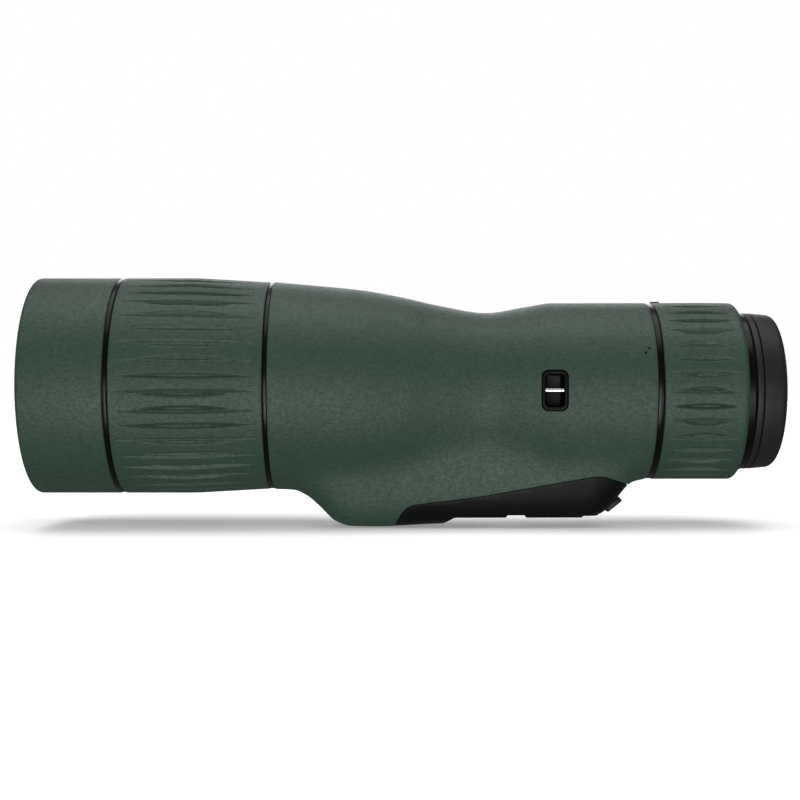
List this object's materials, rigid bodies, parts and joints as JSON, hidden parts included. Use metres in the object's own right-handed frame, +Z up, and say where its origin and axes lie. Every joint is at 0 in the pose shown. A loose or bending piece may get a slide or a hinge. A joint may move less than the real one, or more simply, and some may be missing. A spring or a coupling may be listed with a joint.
{
  "type": "spotting scope",
  "caption": "Straight-view zoom spotting scope with rubber armour, focus and zoom rings, twist-up eyecup, tripod foot and strap bars.",
  "frame": {"origin": "mouth of the tripod thread in the underside of the foot", "axes": "+X back along the line of sight towards the eye, -X is where the objective faces, +Z up, +Y to the user's left"},
  "size_m": [0.2543, 0.0748, 0.0863],
  "materials": {
    "armour_rubber": "matte",
    "black_rubber": "matte",
    "black_metal": "satin",
    "gloss_black": "gloss",
    "black_plastic": "matte",
    "steel": "satin",
    "optical_glass": "polished"
  },
  "bodies": {
    "body": {"objective_armour": "armour_rubber", "body_armour": "armour_rubber", "objective_seal": "black_rubber", "focus_ring_seals": "black_rubber", "foot_rear_pad": "black_rubber", "objective_cell": "black_metal", "objective_spacers": "black_metal", "objective_retaining_ring": "black_metal", "objective_barrel": "black_metal", "barrel_baffle": "black_metal", "body_housing": "black_metal", "foot_plate": "black_metal", "prism_cage": "black_metal", "eyepiece_tube": "black_metal", "field_stop": "black_metal", "eye_lens_cell": "black_metal", "eye_lens_spacer": "black_metal", "eye_lens_retainer": "black_metal", "front_trim_ring": "gloss_black", "rear_trim_ring": "gloss_black", "zoom_trim_ring": "gloss_black", "foot_cover": "black_plastic", "strap_pocket_near": "black_plastic", "strap_pocket_far": "black_plastic", "foot_screws": "steel", "tripod_thread_insert": "steel", "purge_screw": "steel", "prism_cage_screws": "steel", "prism_clips": "steel", "strap_bars": "steel", "objective_front_lens": "optical_glass", "objective_middle_lens": "optical_glass", "objective_rear_lens": "optical_glass", "half_penta_prism": "optical_glass", "roof_prism": "optical_glass", "eye_lens_front": "optical_glass", "eye_lens_rear": "optical_glass"},
    "focus_ring": {"focus_ring": "black_metal", "focus_grip": "armour_rubber"},
    "focus_carriage": {"focus_carriage": "black_metal", "focus_lens_retainer": "black_metal", "focus_follower_pin": "steel", "focus_lens_crown": "optical_glass", "focus_lens_flint": "optical_glass"},
    "zoom_ring": {"zoom_ring": "black_metal", "zoom_grip": "armour_rubber", "zoom_end_ring": "gloss_black"},
    "zoom_front_group": {"zoom_front_cell": "black_metal", "zoom_front_retainer": "black_metal", "zoom_front_pin": "steel", "zoom_front_lens": "optical_glass"},
    "zoom_rear_group": {"zoom_rear_cell": "black_metal", "zoom_rear_retainer": "black_metal", "zoom_rear_pin": "steel", "zoom_rear_lens": "optical_glass"},
    "eyecup_lift_ring": {"eyecup_lift_ring": "black_plastic"},
    "eyecup": {"eyecup_shell": "black_plastic", "eyecup_cam_pin": "steel", "eyecup_rubber": "black_rubber"}
  },
  "joints": [
    {"name": "focus_turn", "type": "hinge", "parent": "body", "child": "focus_ring", "pos_m": [-0.109, 0, 0.0442], "axis": [1, 0, 0], "range_deg": [0, 330]},
    {"name": "focus_travel", "type": "slide", "parent": "body", "child": "focus_carriage", "axis": [1, 0, 0], "range_m": [0, 0.011]},
    {"name": "zoom_turn", "type": "hinge", "parent": "body", "child": "zoom_ring", "pos_m": [0.062, 0, 0.0423], "axis": [1, 0, 0], "range_deg": [0, 160]},
    {"name": "zoom_front_travel", "type": "slide", "parent": "body", "child": "zoom_front_group", "axis": [1, 0, 0], "range_m": [0, 0.0065]},
    {"name": "zoom_rear_travel", "type": "slide", "parent": "body", "child": "zoom_rear_group", "axis": [1, 0, 0], "range_m": [-0.0035, 0]},
    {"name": "eyecup_lift", "type": "slide", "parent": "body", "child": "eyecup_lift_ring", "axis": [1, 0, 0], "range_m": [0, 0.008]},
    {"name": "eyecup_turn", "type": "hinge", "parent": "eyecup_lift_ring", "child": "eyecup", "pos_m": [0.08, 0, 0.0423], "axis": [1, 0, 0], "range_deg": [0, 100]}
  ],
  "couplings": [
    {"joint": "focus_travel", "follows": "focus_turn", "m_per_rad": 0.0019099},
    {"joint": "zoom_front_travel", "follows": "zoom_turn", "m_per_rad": 0.0023276},
    {"joint": "zoom_rear_travel", "follows": "zoom_turn", "m_per_rad": -0.0012533},
    {"joint": "eyecup_turn", "follows": "eyecup_lift", "rad_per_m": 218.17}
  ]
}
